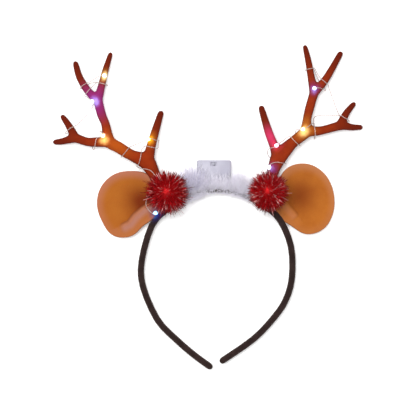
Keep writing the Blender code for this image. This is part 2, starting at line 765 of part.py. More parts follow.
def make_wire(side):
    """The wire and its beads. It runs straight through each bead and lies close round the limbs."""
    silver = material("light_wire_" + side, *WIRE_METAL)
    bones = []
    for names in LIMBS:
        line = limb_line(side, names)
        flare = 1.0 if names == LIMBS[0] else FORK_FLARE
        for (start, share), (end, next_share) in zip(line, line[1:]):
            bones.append((start, end, max(share, next_share) * ANTLER_RADIUS * flare))
            flare = max(1.0, flare - FORK_FLARE_STEP)
    bead_room = LED_DIAMETER / 2 + 2 * CLEARANCE
    stops = wire_stops(side)
    stops = [(push_clear(point, bones, bead_room) if colour else point, colour) for point, colour in stops]
    path = []
    beads = []
    for i, (point, colour) in enumerate(stops):
        if not colour:
            path.append((point, False))
            continue
        after = stops[min(i + 1, len(stops) - 1)][0]
        along = (after - stops[i - 1][0]).normalized()
        half = along * (LED_LENGTH / 2 + WIRE_DIAMETER)
        path += [(point - half, False), (point + half, True)]
        beads.append((point, along, colour))
    line = []
    run = []
    room = WIRE_DIAMETER / 2 + CLEARANCE + WIRE_SLACK
    for i in range(len(path)):
        if path[i][1]:
            line += thin_out(settle(run, bones, room), WIRE_THIN)
            run = []
        run.append(path[i][0])
        if i + 1 < len(path) and not path[i + 1][1]:
            near = [point for point, through in path[max(i - 1, 0) : i + 3]]
            first = min(i, 1) * WIRE_SPAN_STEPS
            span = smooth_line(near, WIRE_SPAN_STEPS)[first + 1 : first + WIRE_SPAN_STEPS]
            run += [push_clear(point, bones, room) for point in span]
    line += thin_out(settle(run, bones, room), WIRE_THIN)
    curve = curve_from("light_wire_" + side, [[(point, 1.0) for point in line]], WIRE_DIAMETER / 2, 1)
    wire = add_object("light_wire_" + side, curve, silver)
    for number, (point, along, colour) in enumerate(beads, 1):
        make_led("led_%s_%d" % (side, number), point, along, colour)
    return wire


def make_led(name, point, along, colour):
    """A drop-shaped bead, drilled for the wire."""
    resin = material(name + "_resin", LED_COLOURS[colour], LED_ROUGHNESS)
    bore = WIRE_DIAMETER / 2 + CLEARANCE
    outer = LED_DIAMETER / 2
    half = LED_LENGTH / 2
    shoulder = bore + (outer - bore) * LED_SHOULDER_RADIUS
    profile = [
        (bore, -half),
        (shoulder, -half * LED_SHOULDER_REACH),
        (outer, 0.0),
        (shoulder, half * LED_SHOULDER_REACH),
        (bore, half),
    ]
    shape = bmesh.new()
    rings = []
    for i in range(LED_SIDES):
        turn = math.tau * i / LED_SIDES
        ring = [shape.verts.new((r * math.cos(turn), r * math.sin(turn), z)) for r, z in profile]
        rings.append(ring)
    for i in range(LED_SIDES):
        ring, following = rings[i], rings[(i + 1) % LED_SIDES]
        for j in range(len(profile)):
            k = (j + 1) % len(profile)
            shape.faces.new((ring[j], following[j], following[k], ring[k]))
    led = add_object(name, mesh_from(shape, name), resin, point)
    led.rotation_euler = along.to_track_quat("Z", "Y").to_euler()
    return led


def rest_on_origin():
    """Moves the whole headband so that its box stands on the origin, with the box's middle over it."""
    bpy.context.view_layer.update()
    graph = bpy.context.evaluated_depsgraph_get()
    low = Vector((1.0, 1.0, 1.0))
    high = -low
    for piece in root.children:
        if piece.hide_render:
            continue
        evaluated = piece.evaluated_get(graph)
        mesh = evaluated.to_mesh()
        for vert in mesh.vertices:
            spot = evaluated.matrix_world @ vert.co
            low = Vector(map(min, low, spot))
            high = Vector(map(max, high, spot))
        evaluated.to_mesh_clear()
    root.location = (-(low.x + high.x) / 2, -(low.y + high.y) / 2, -low.z)


for old in list(bpy.data.objects):
    bpy.data.objects.remove(old)

root = bpy.data.objects.new("antler_headband", None)
bpy.context.collection.objects.link(root)

make_headband()
seat = add_object("band_seat", band_mesh("band_seat", CLEARANCE))
for which in SIDES:
    make_antler(which, seat)
    seats = [seat]
    for names in (LIMBS[0][:4], THROAT):
        limb = [(p, share + CLEARANCE / ANTLER_RADIUS) for p, share in limb_line(which, names)]
        label = "seat_%s_%s" % (names[1], which)
        seats.append(add_object(label, mesh_of_curve(curve_from(label, [limb], ANTLER_RADIUS, 4))))
    make_ear(which, seats)
    make_pompom(which)
    make_wire(which)
make_fur()
make_case()
make_knob()
rest_on_origin()
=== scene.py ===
import math
import random

import bmesh
import bpy
import numpy as np
from mathutils import Matrix, Vector


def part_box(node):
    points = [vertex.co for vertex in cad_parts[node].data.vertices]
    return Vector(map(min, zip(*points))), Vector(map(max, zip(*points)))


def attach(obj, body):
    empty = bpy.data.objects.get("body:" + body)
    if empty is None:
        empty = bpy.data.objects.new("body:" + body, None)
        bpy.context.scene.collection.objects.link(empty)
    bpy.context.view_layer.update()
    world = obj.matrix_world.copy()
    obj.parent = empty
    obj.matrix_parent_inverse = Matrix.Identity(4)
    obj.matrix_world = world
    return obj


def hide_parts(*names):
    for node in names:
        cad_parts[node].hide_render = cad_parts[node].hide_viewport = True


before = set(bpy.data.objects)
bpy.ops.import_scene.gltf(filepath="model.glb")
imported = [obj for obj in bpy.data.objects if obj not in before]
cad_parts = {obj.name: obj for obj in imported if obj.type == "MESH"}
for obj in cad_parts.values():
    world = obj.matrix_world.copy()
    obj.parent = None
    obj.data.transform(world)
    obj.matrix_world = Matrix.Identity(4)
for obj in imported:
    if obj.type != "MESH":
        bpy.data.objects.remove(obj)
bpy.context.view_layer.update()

# The hoop. The real one is a flat sprung bar drawn into a tube of dark brown velour and closed at its two
# round tips. The pile is short and dense, so it swallows light and shows a soft sheen along its sides.
BAND_SKIN = 0.0007
BAND_EASE = 14
SKIN_SWELL = 0.0001
VELOUR_DYE = (0.029, 0.0165, 0.0150, 1)
# The deeper colour lies in patches, and is also painted on the sides as shade
VELOUR_DEEP_AND_SIDE_SHADE = (0.010, 0.0055, 0.005, 1)
# A pile's grain and patches in metres, how patchy it is, its grain's depth, and the share of painted shade on its
# sides
VELOUR_PILE = (0.0003, 0.006, 0.6, 0.00015, 0.35)
VELOUR_SHEEN = 0.12


def merged_copy(node):
    """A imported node's mesh with its loose triangles joined up."""
    shape = bmesh.new()
    shape.from_mesh(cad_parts[node].data)
    bmesh.ops.remove_doubles(shape, verts=shape.verts, dist=0.00002)
    return shape


def piece_from(shape, name, finish, body="headset", stands_for=()):
    """An object of this shape with its finish, riding on its body."""
    mesh = bpy.data.meshes.new(name)
    shape.to_mesh(mesh)
    shape.free()
    piece = bpy.data.objects.new(name, mesh)
    bpy.context.scene.collection.objects.link(piece)
    mesh.materials.append(finish)
    mesh.shade_smooth()
    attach(piece, body)
    if stands_for:
        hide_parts(*stands_for)
    return piece


def made_up(piece):
    """Applies the piece's modifiers and gives its mesh back as a bmesh."""
    graph = bpy.context.evaluated_depsgraph_get()
    mesh = bpy.data.meshes.new_from_object(piece.evaluated_get(graph))
    piece.modifiers.clear()
    shape = bmesh.new()
    shape.from_mesh(mesh)
    return shape


def put_back(shape, piece):
    shape.to_mesh(piece.data)
    shape.free()
    piece.data.shade_smooth()


def fine_skin(piece, size, rounds, swell):
    """Gives the piece an even fine skin without facets, and swells it by what the smoothing takes away."""
    skin = piece.modifiers.new("even skin", "REMESH")
    skin.mode = "VOXEL"
    skin.voxel_size = size
    shape = made_up(piece)
    for _ in range(rounds):
        bmesh.ops.smooth_vert(
            shape, verts=shape.verts, factor=0.5, use_axis_x=True, use_axis_y=True, use_axis_z=True
        )
    shape.normal_update()
    for vert in shape.verts:
        vert.co += vert.normal * swell
    put_back(shape, piece)


def new_finish(name, **constants):
    """A new material with these values on its shader's own sockets. It gives the material, its tree and its
    shader."""
    finish = bpy.data.materials.new(name)
    finish.use_nodes = True
    shader = finish.node_tree.nodes["Principled BSDF"]
    for label, value in constants.items():
        shader.inputs[label.replace("_", " ")].default_value = value
    return finish, finish.node_tree, shader


def new_group(name, inputs, outputs):
    """An empty effect with named inputs and outputs. An input is (kind, name, usual value)."""
    group = bpy.data.node_groups.new(name, "ShaderNodeTree")
    for kind, label, usual in inputs:
        socket = group.interface.new_socket(label, in_out="INPUT", socket_type="NodeSocket" + kind)
        if usual is not None:
            socket.default_value = usual
    for kind, label in outputs:
        group.interface.new_socket(label, in_out="OUTPUT", socket_type="NodeSocket" + kind)
    return group, group.nodes.new("NodeGroupInput"), group.nodes.new("NodeGroupOutput")


def add_node(tree, kind, settings=(), **values):
    """A node with its settings and its input values. An input goes by its name, or by i and its number where
    names repeat. A value that is a socket is linked."""
    node = tree.nodes.new("ShaderNode" + kind)
    for name, value in dict(settings).items():
        setattr(node, name, value)
    for name, value in values.items():
        numbered = name[0] == "i" and name[1:].isdigit()
        socket = node.inputs[int(name[1:]) if numbered else name.replace("_", " ")]
        if isinstance(value, bpy.types.NodeSocket):
            tree.links.new(value, socket)
        else:
            socket.default_value = value
    return node


def pile_effect():
    """Short pile: a fine tipped grain in height, patches where it lies another way, and painted shade: a deeper
    colour painted on the sides, more as the surface turns from facing up."""
    group, given, out = new_group(
        "short pile",
        [("Vector", "Vector", None), ("Color", "Dye", None), ("Color", "Deep", None),
         ("Float", "Grain Scale", 3000.0), ("Float", "Patch Scale", 120.0), ("Float", "Patchiness", 0.5),
         ("Vector", "Normal", None), ("Color", "Side", None), ("Float", "Side Share", 0.0)],
        [("Color", "Color"), ("Float", "Height"), ("Float", "Patch")],
    )
    take = given.outputs
    grain = add_node(group, "TexNoise", Vector=take["Vector"], Scale=take["Grain Scale"], Detail=2.0)
    patch = add_node(group, "TexNoise", Vector=take["Vector"], Scale=take["Patch Scale"], Detail=4.0)
    lay = add_node(group, "MapRange", Value=patch.outputs["Fac"], From_Min=0.35, From_Max=0.68)
    speck = add_node(group, "MapRange", Value=grain.outputs["Fac"], From_Min=0.3, From_Max=0.7)
    both = add_node(group, "Math", {"operation": "MULTIPLY_ADD"}, i0=speck.outputs[0], i1=0.35, i2=lay.outputs[0])
    share = add_node(group, "Math", {"operation": "MULTIPLY"}, i0=both.outputs[0], i1=take["Patchiness"])
    blend = add_node(group, "Mix", {"data_type": "RGBA"}, i0=share.outputs[0], i6=take["Dye"], i7=take["Deep"])
    # Painted shade: the side colour takes over as the surface turns from facing up to facing sideways
    tilt = add_node(group, "SeparateXYZ", i0=take["Normal"])
    slope = add_node(
        group, "MapRange", {"interpolation_type": "SMOOTHSTEP"},
        Value=tilt.outputs["Z"], From_Min=0.0, From_Max=0.92, To_Min=1.0, To_Max=0.0,
    )
    low = add_node(group, "Math", {"operation": "MULTIPLY"}, i0=slope.outputs[0], i1=take["Side Share"])
    shaded = add_node(group, "Mix", {"data_type": "RGBA"}, i0=low.outputs[0], i6=blend.outputs[2], i7=take["Side"])
    group.links.new(shaded.outputs[2], out.inputs["Color"])
    group.links.new(grain.outputs["Fac"], out.inputs["Height"])
    group.links.new(lay.outputs[0], out.inputs["Patch"])
    return group


PILE = pile_effect()


def painted_glow_effect():
    """A lit bead's light painted on the pile round it: painted light nearest to it, and its colour painted into
    the dye further out."""
    group, given, out = new_group(
        "painted bead glow",
        [("Vector", "Vector", None), ("Vector", "Bead", None), ("Vector", "Tint Middle", None),
         ("Color", "Light", None), ("Color", "Tint", None),
         ("Float", "Light Reach", 0.006), ("Float", "Tint Reach", 0.02), ("Float", "Strength", 1.0),
         ("Float", "Tint Share", 0.8), ("Color", "Light Before", (0, 0, 0, 1)), ("Color", "Dye Before", None)],
        [("Color", "Light"), ("Color", "Dye")],
    )
    take = given.outputs
    uneven = add_node(group, "TexNoise", Vector=take["Vector"], Scale=450.0, Detail=2.0)
    falls = []
    for middle, reach in (("Bead", "Light Reach"), ("Tint Middle", "Tint Reach")):
        gap = add_node(group, "VectorMath", {"operation": "DISTANCE"}, i0=take["Vector"], i1=take[middle])
        blur = add_node(
            group, "Math", {"operation": "MULTIPLY_ADD"},
            i0=uneven.outputs["Fac"], i1=0.0022, i2=gap.outputs["Value"],
        )
        share = add_node(group, "Math", {"operation": "DIVIDE"}, i0=blur.outputs[0], i1=take[reach])
        fall = add_node(
            group, "MapRange", {"interpolation_type": "SMOOTHSTEP"}, Value=share.outputs[0], To_Min=1.0, To_Max=0.0
        )
        falls.append(fall.outputs[0])
    steep = add_node(group, "Math", {"operation": "POWER"}, i0=falls[0], i1=1.5)
    bright = add_node(group, "Math", {"operation": "MULTIPLY"}, i0=steep.outputs[0], i1=take["Strength"])
    lit = add_node(group, "VectorMath", {"operation": "SCALE"}, i0=take["Light"], Scale=bright.outputs[0])
    total = add_node(group, "VectorMath", {"operation": "ADD"}, i0=take["Light Before"], i1=lit.outputs[0])
    part = add_node(group, "Math", {"operation": "MULTIPLY"}, i0=falls[1], i1=take["Tint Share"])
    dye = add_node(group, "Mix", {"data_type": "RGBA"}, i0=part.outputs[0], i6=take["Dye Before"], i7=take["Tint"])
    group.links.new(total.outputs[0], out.inputs["Light"])
    group.links.new(dye.outputs[2], out.inputs["Dye"])
    return group


PAINTED_GLOW = painted_glow_effect()

# Each bead's light painted on the pile: where the painted light's middle lies off the bead, its colour, reach
# and strength, then the painted tint it gives the pile's colour: where its middle lies off the bead, its colour,
# reach and share
PAINTED_BEAD_LIGHT = {
    "led_left_1": (
        (-0.0020, -0.0022, 0), (0.05, 0.50, 1.00), 0.0062, 1.5,
        (0, 0, 0), (0.012, 0.008, 0.15), 0.012, 0.90,
    ),
    "led_left_2": (
        (0.0006, 0, 0), (1.00, 0.62, 0.01), 0.0082, 1.3,
        (-0.001, 0.001, 0), (0.50, 0.160, 0.008), 0.013, 0.80,
    ),
    "led_left_3": (
        (0.0004, -0.0034, 0), (1.00, 0.62, 0.18), 0.0092, 3.0,
        (0.012, -0.008, 0), (0.40, 0.080, 0.006), 0.024, 0.75,
    ),
    "led_left_4": (
        (0.0016, 0, 0), (0.28, 0.36, 1.00), 0.0090, 2.6,
        (0.001, 0, 0), (0.22, 0.014, 0.150), 0.027, 1.00,
    ),
    "led_left_5": (
        (0.0012, 0, 0), (1.00, 0.85, 0.42), 0.0082, 3.2,
        (0, 0, 0), (0.36, 0.190, 0.020), 0.011, 0.85,
    ),
    "led_right_1": (
        (0.0012, -0.0010, 0), (0.40, 0.52, 1.00), 0.0068, 1.0,
        (0.002, -0.002, 0), (0.17, 0.025, 0.18), 0.011, 0.90,
    ),
    "led_right_2": (
        (-0.0016, -0.0006, 0), (1.00, 0.30, 0.48), 0.0062, 1.0,
        (-0.005, 0.008, 0), (0.58, 0.034, 0.12), 0.018, 0.95,
    ),
    "led_right_3": (
        (0.0008, -0.0012, 0), (1.00, 0.80, 0.30), 0.0105, 2.4,
        (0.001, 0.001, 0), (0.42, 0.150, 0.014), 0.019, 0.80,
    ),
    "led_right_4": (
        (-0.0006, -0.0012, 0), (0.32, 0.38, 1.00), 0.0080, 2.4,
        (0, 0, 0), (0.14, 0.010, 0.140), 0.011, 0.90,
    ),
}


def bead_place(node):
    low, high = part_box(node)
    return (low + high) / 2


def painted_glow_on(tree, place, dye, beads):
    """Chains the beads' painted glow on a finish. It gives the painted light's socket and the painted dye's."""
    light = None
    for node in beads:
        off, colour, reach, strength, tint_off, tint, tint_reach, share = PAINTED_BEAD_LIGHT[node]
        glow = add_node(
            tree, "Group", {"node_tree": PAINTED_GLOW}, Vector=place, Dye_Before=dye,
            Bead=bead_place(node) + Vector(off), Light=(*colour, 1), Light_Reach=reach, Strength=strength,
            Tint_Middle=bead_place(node) + Vector(tint_off), Tint=(*tint, 1), Tint_Reach=tint_reach,
            Tint_Share=share,
        )
        if light:
            tree.links.new(light, glow.inputs["Light Before"])
        light, dye = glow.outputs["Light"], glow.outputs["Dye"]
    return light, dye


def pile_finish(name, dye, deep, side, sizes, sheen, beads=(), layers=()):
    """A finish of short pile, with painted shade on its sides, layers of colour, some of them painted light and
    shade, and the beads' light painted on round them. A layer is a name kept on the mesh and a colour."""
    grain, patch, patchiness, depth, painted_side_share = sizes
    finish, tree, shader = new_finish(
        name, Roughness=0.95, Specular_IOR_Level=0.1,
        Sheen_Weight=sheen, Sheen_Roughness=0.45, Sheen_Tint=(0.9, 0.6, 0.5, 1),
    )
    coordinates = add_node(tree, "TexCoord")
    place = coordinates.outputs["Object"]
    pile = add_node(
        tree, "Group", {"node_tree": PILE}, Vector=place, Normal=coordinates.outputs["Normal"],
        Dye=dye, Deep=deep, Side=side, Side_Share=painted_side_share,
        Grain_Scale=1 / grain, Patch_Scale=1 / patch, Patchiness=patchiness,
    )
    bump = add_node(tree, "Bump", Strength=1.0, Distance=depth, Height=pile.outputs["Height"])
    dye_and_painted_light = pile.outputs["Color"]
    for layer, colour in layers:
        varying = add_node(tree, "Attribute", {"attribute_name": layer}).outputs["Fac"]
        dye_and_painted_light = add_node(tree, "Mix", {"data_type": "RGBA"}, i0=varying, i6=dye_and_painted_light, i7=colour).outputs[2]
    # The beads' light is painted on: emission near each bead, and its colour mixed into the dye further out
    if beads:
        light, dye_and_painted_light = painted_glow_on(tree, place, dye_and_painted_light, beads)
        tree.links.new(light, shader.inputs["Emission Color"])
        shader.inputs["Emission Strength"].default_value = 1.0
    tree.links.new(dye_and_painted_light, shader.inputs["Base Color"])
    tree.links.new(bump.outputs["Normal"], shader.inputs["Normal"])
    return finish


# The velour's sides are painted darker as shade, and the first left bead's light is painted on it
velour = pile_finish(
    "velour", VELOUR_DYE, VELOUR_DEEP_AND_SIDE_SHADE, VELOUR_DEEP_AND_SIDE_SHADE, VELOUR_PILE, VELOUR_SHEEN, ["led_left_1"]
)
hoop = piece_from(merged_copy("headband"), "velour_hoop", velour, stands_for=["headband"])
fine_skin(hoop, BAND_SKIN, BAND_EASE, SKIN_SWELL)

# The antlers. Each is moulded in one piece, hollow and light, and flocked with short reddish brown fibre.
# Its foot stands on the hoop's outer edge, and its tines end darker.
FLOCK_SKIN = 0.0006
FLOCK_EASE = 12
FLOCK_DYE = (0.262, 0.027, 0.003, 1)
FLOCK_DEEP = (0.190, 0.016, 0.002, 1)
# Painted shade: the colour of the flock's sides where they turn from facing up
FLOCK_SIDE_SHADE = (0.070, 0.006, 0.0015, 1)
FLOCK_TIP = (0.105, 0.0085, 0.0018, 1)
FLOCK_PILE = (0.00035, 0.008, 0.7, 0.00018, 0.9)
FLOCK_SHEEN = 0.0
# Where each tine ends, and how far its darker colour reaches
TIP_REACH = 0.026
TINE_TIPS = {
    "left": [(-0.1168, 0.1287), (-0.0850, 0.1366), (-0.1276, 0.0812), (-0.1367, 0.0568), (-0.0407, 0.0849)],
    "right": [(0.0861, 0.1433), (0.1177, 0.1378), (0.1293, 0.0922), (0.1372, 0.0698), (0.0474, 0.0891)],
}


def corner_places(mesh):
    """The mesh's corners as rows of x, y and z."""
    places = np.empty(len(mesh.vertices) * 3)
    mesh.vertices.foreach_get("co", places)
    return places.reshape(-1, 3)


for side in ("left", "right"):
    beads = [node for node in PAINTED_BEAD_LIGHT if side in node]
    # Each antler's sides get painted shade, and its beads' light is painted on the flock round them
    flock = pile_finish(
        "flock_" + side, FLOCK_DYE, FLOCK_DEEP, FLOCK_SIDE_SHADE, FLOCK_PILE, FLOCK_SHEEN, beads, [("tip", FLOCK_TIP)]
    )
    antler = piece_from(
        merged_copy("antler_" + side), "flocked_antler_" + side, flock, stands_for=["antler_" + side]
    )
    fine_skin(antler, FLOCK_SKIN, FLOCK_EASE, SKIN_SWELL)
    spots = corner_places(antler.data)[:, :2]
    nearest = np.min([np.linalg.norm(spots - np.array(tip), axis=1) for tip in TINE_TIPS[side]], axis=0)
    tips = antler.data.attributes.new("tip", "FLOAT", "POINT")
    tips.data.foreach_set("value", np.exp(-((nearest / TIP_REACH) ** 2)))

# The ears. Each is cut from thick brushed felt, cupped, and folded at its foot where it is sewn to the
# hoop. The fold's crest has a painted pale highlight, the rim a painted pale sheen and the cup painted shade.
# The cut edge is soft.
EAR_MIDDLES = {"left": Vector((-0.06842, 0.00175, 0)), "right": Vector((0.08722, 0.00670, 0))}
EAR_HALF = 0.030
EAR_THICKNESS = 0.0022
EAR_FLOOR = 0.0019
EAR_DEEP = 0.006
EAR_RINGS = 26
EAR_SPOKES = 120
# The ears' reach every 30 degrees round from straight outward, as shares of half their length
EAR_REACHES = {
    "left": (0.985, 1.020, 1.030, 1.010, 1.050, 1.033, 1.000, 0.790, 0.730, 0.925, 1.027, 0.963),
    "right": (0.826, 0.849, 0.946, 1.056, 1.094, 1.000, 1.000, 0.975, 0.900, 1.020, 1.000, 0.890),
}
EAR_FOLD_LINES = {
    "left": [(-0.0507, 0.0033), (-0.0577, -0.0007), (-0.0649, -0.0067), (-0.0699, -0.0132), (-0.0789, -0.0177)],
    "right": [(0.0666, 0.0063), (0.0721, 0.0003), (0.0766, -0.0047), (0.0795, -0.0082)],
}
EAR_FOLD_HEIGHTS = {"left": 0.0046, "right": 0.0020}
# Past its line the fold rises over its wall and runs out over its slope. Its painted crest highlight lies a
# little further in, and its painted shade lies before the line. From its fade on along the line, it sinks to a
# fifth.
FOLD_WALL = (0.0016, 0.0026)
FOLD_SLOPE = 0.010
FOLD_CREST = (0.0034, 0.0036)
FOLD_SHADE = 0.0030
FOLD_FADE = (0.86, 0.14)
# Where the painted shade in each ear's cup is darkest, how far it reads, and how dark it gets
EAR_CUPS = {"left": ((-0.0590, 0.0060), 0.0125, 1.0), "right": ((0.0815, 0.0105), 0.0135, 0.75)}
FELT_DYE = {"left": (0.350, 0.107, 0.0140, 1), "right": (0.385, 0.118, 0.0160, 1)}
FELT_BROWN = (0.320, 0.088, 0.0115, 1)
# Painted shade: the colour of the felt's sides where they turn from facing up
FELT_SIDE_SHADE = (0.260, 0.085, 0.020, 1)
# Painted shade in the cup and before the fold
FELT_SHADE = (0.150, 0.022, 0.003, 1)
# The rim's painted pale sheen, stronger toward the top
FELT_RIM_SHEEN = {"left": (0.365, 0.130, 0.074, 1), "right": (0.386, 0.142, 0.055, 1)}
# The painted highlight on the fold's crest
FELT_CREST_HIGHLIGHT = {"left": (0.350, 0.145, 0.098, 1), "right": (0.400, 0.135, 0.045, 1)}
FELT_PILE = (0.0006, 0.010, 0.6, 0.00025, 0.6)
FELT_SHEEN = 0.10


def smooth_between(a, b, c, d, share):
    """This share of the way from b to c, on a smooth line through all four."""
    return b + 0.5 * share * (c - a + share * (2 * a - 5 * b + 4 * c - d + share * (3 * (b - c) + d - a)))


def round_reach(reaches, turn):
    """The reach at this turn in degrees, on a smooth line through the reaches."""
    step = 360 / len(reaches)
    first = int(turn // step)
    around = (reaches[(first + k) % len(reaches)] for k in (-1, 0, 1, 2))
    return smooth_between(*around, turn / step - first)


def fold_place(side, spot):
    """How far this spot lies past the fold's line, toward the hoop, and how far along the line it is."""
    line = EAR_FOLD_LINES[side]
    best = None
    for index, ((x0, y0), (x1, y1)) in enumerate(zip(line, line[1:])):
        start, along = Vector((x0, y0)), Vector((x1 - x0, y1 - y0))
        share = max(0.0, min(1.0, (spot - start).dot(along) / along.length_squared))
        gap = spot - (start + along * share)
        if best is None or gap.length < best[0]:
            best = (gap.length, gap.cross(along.normalized()), (index + share) / (len(line) - 1))
    distance, across, share = best
    return math.copysign(distance, across if side == "right" else -across), share


def eased(value):
    value = max(0.0, min(1.0, value))
    return value * value * (3 - 2 * value)


def shaped_ear(side):
    """A disc spun round its middle, drawn out to the ear's outline, cupped and folded. It also keeps how much
    painted pale sheen each spot takes near the rim, painted shade in the cup and painted highlight on the
    fold's crest."""
    sign = -1 if side == "left" else 1
    middle = EAR_MIDDLES[side]
    shape = bmesh.new()
    row = [shape.verts.new((ring / EAR_RINGS, 0, 0)) for ring in range(EAR_RINGS + 1)]
    edges = [shape.edges.new(pair) for pair in zip(row, row[1:])]
    bmesh.ops.spin(
        shape, geom=row + edges, cent=(0, 0, 0), axis=(0, 0, 1), angle=math.tau, steps=EAR_SPOKES, use_merge=True
    )
    bmesh.ops.remove_doubles(shape, verts=shape.verts, dist=0.0001)
    painted_rim_sheen, cupped, crest = (shape.verts.layers.float.new(name) for name in ("painted_rim_sheen", "cupped", "crest"))
    cup, cup_reach, cup_share = EAR_CUPS[side]
    for vert in shape.verts:
        share = vert.co.xy.length
        angle = math.atan2(vert.co.y, vert.co.x) % math.tau
        reach = round_reach(EAR_REACHES[side], math.degrees(angle)) * EAR_HALF * share
        spot = Vector((middle.x + sign * reach * math.cos(angle), middle.y + reach * math.sin(angle)))
        toward_hoop = 0.62 - 0.38 * math.cos(angle)
        height = EAR_FLOOR + EAR_DEEP * share**2 * toward_hoop
        past, along = fold_place(side, spot)
        end = 1 - eased((along - FOLD_FADE[0]) / FOLD_FADE[1]) * 0.8
        wall = eased((past + FOLD_WALL[0]) / FOLD_WALL[1])
        rise = EAR_FOLD_HEIGHTS[side] * wall * math.exp(-max(past, 0.0) / FOLD_SLOPE) * end
        vert.co = (spot.x, spot.y, height + rise * min(1.0, share / 0.3))
        # Painted pale sheen near the rim, stronger toward the top
        vert[painted_rim_sheen] = eased((share - 0.70) / 0.28) * (0.65 + 0.35 * math.sin(angle))
        # Painted shade in the cup, and before the fold's line
        vert[cupped] = cup_share * math.exp(-(((spot - Vector(cup)).length / cup_reach) ** 2)) * (1 - wall)
        if past < 0:
            vert[cupped] += 0.35 * math.exp(past / FOLD_SHADE) * (1 - wall) * end * cup_share
        # Painted highlight along the fold's crest
        vert[crest] = wall * math.exp(-(((past - FOLD_CREST[0]) / FOLD_CREST[1]) ** 2)) * end
    bmesh.ops.recalc_face_normals(shape, faces=shape.faces)
    if sum(face.normal.z for face in shape.faces) < 0:
        bmesh.ops.reverse_faces(shape, faces=shape.faces)
    return shape


for side in ("left", "right"):
    beads = ["led_left_1"] if side == "left" else []
    # The felt's layers are painted light and shade: pale sheen on the rim, a highlight on the fold's crest and
    # shade in the cup. Its sides take painted shade, and the left ear a bead's painted light.
    felt = pile_finish(
        "felt_" + side, FELT_DYE[side], FELT_BROWN, FELT_SIDE_SHADE, FELT_PILE, FELT_SHEEN, beads,
        [("painted_rim_sheen", FELT_RIM_SHEEN[side]), ("crest", FELT_CREST_HIGHLIGHT[side]), ("cupped", FELT_SHADE)],
    )
    ear = piece_from(shaped_ear(side), "felt_ear_" + side, felt, stands_for=["ear_" + side])
    wall = ear.modifiers.new("felt", "SOLIDIFY")
    wall.thickness = EAR_THICKNESS
    wall.offset = 0
    soft = ear.modifiers.new("soft edge", "SUBSURF")
    soft.levels = soft.render_levels = 1

# The pompoms. Each is a ball of crimson foil tinsel: hundreds of narrow strips tied at the middle and left to
# stand out all round. Most strips are deep red, with painted light on those facing up and painted shade on those
# round the sides. A few are painted pale pink as glints.
POMPOM_SIZES = {"left": (0.0192, 0.0050), "right": (0.0180, 0.0030)}
POMPOM_SHIFTS = {"left": Vector((0, -0.0008, 0)), "right": Vector((0.0009, -0.0012, 0))}
POMPOM_MIDDLE = 0.0284
# The tied core: its share of the ball, and how deep in the ball's shade it lies
CORE_SHARE = 0.70
CORE_SHADE = 0.35
# No strip dips below this height, or is shorter than this. Each starts this far from the ball's middle.
POMPOM_CLEAR = 0.0162
STRIP_SHORTEST = 0.005
STRIP_ROOT = 0.003
STRIP_WIDTH = 0.00078
STRIP_COUNT = 2900
# The share of strips that stand out further than the rest, and the share that is deep red; the rest are painted
# pale pink glints
LONG_SHARE = 0.20
DEEP_SHARE = 0.94
chance = random.Random(11)


def bent_strip(sides, steps, bend, flat, tip):
    """A tapered strip one long, standing on the origin and bowing to one side."""
    shape = bmesh.new()
    bmesh.ops.create_cone(
        shape, cap_ends=True, cap_tris=False, segments=sides, radius1=0.5, radius2=0.5 * tip, depth=1.0,
        matrix=Matrix.Translation((0, 0, 0.5)),
    )
    uprights = [edge for edge in shape.edges if abs(edge.verts[0].co.z - edge.verts[1].co.z) > 0.5]
    bmesh.ops.subdivide_edges(shape, edges=uprights, cuts=steps - 1)
    for vert in shape.verts:
        vert.co.y = vert.co.y * flat + bend * vert.co.z**2
    bmesh.ops.triangulate(shape, faces=shape.faces)
    bmesh.ops.recalc_face_normals(shape, faces=shape.faces)
    mesh = bpy.data.meshes.new("strip")
    shape.to_mesh(mesh)
    shape.free()
    return mesh


def set_out(strips, places, shades, name):
    """One mesh with a copy of one of these strips at each place. Each copy keeps its own shade."""
    corners, faces, tones = [], [], []
    start = 0
    for index, (place, shade) in enumerate(zip(places, shades)):
        strip = strips[index % len(strips)]
        loops = np.empty(len(strip.loops), dtype=np.int64)
        strip.loops.foreach_get("vertex_index", loops)
        spots = corner_places(strip) @ np.array(place.to_3x3()).T + np.array(place.translation)
        corners.append(spots)
        faces.append(loops + start)
        tones.append(np.full(len(spots), shade))
        start += len(spots)
    corners, faces, tones = np.concatenate(corners), np.concatenate(faces), np.concatenate(tones)
    mesh = bpy.data.meshes.new(name)
    mesh.vertices.add(len(corners))
    mesh.vertices.foreach_set("co", corners.ravel())
    mesh.loops.add(len(faces))
    mesh.loops.foreach_set("vertex_index", faces)
    mesh.polygons.add(len(faces) // 3)
    mesh.polygons.foreach_set("loop_start", np.arange(0, len(faces), 3))
    mesh.update(calc_edges=True)
    mesh.attributes.new("shade", "FLOAT", "POINT").data.foreach_set("value", tones)
    return mesh


def standing(root, way, length, width, turn):
    """The place of a strip that stands on its root and points this way."""
    toward = way.to_track_quat("Z", "Y").to_matrix().to_4x4()
    size = Matrix.Diagonal((width, width, length, 1))
    return Matrix.Translation(root) @ toward @ Matrix.Rotation(turn, 4, "Z") @ size


def random_way():
    up = chance.uniform(-1, 1)
    turn = chance.uniform(0, math.tau)
    side = math.sqrt(1 - up * up)
    return Vector((side * math.cos(turn), side * math.sin(turn), up))


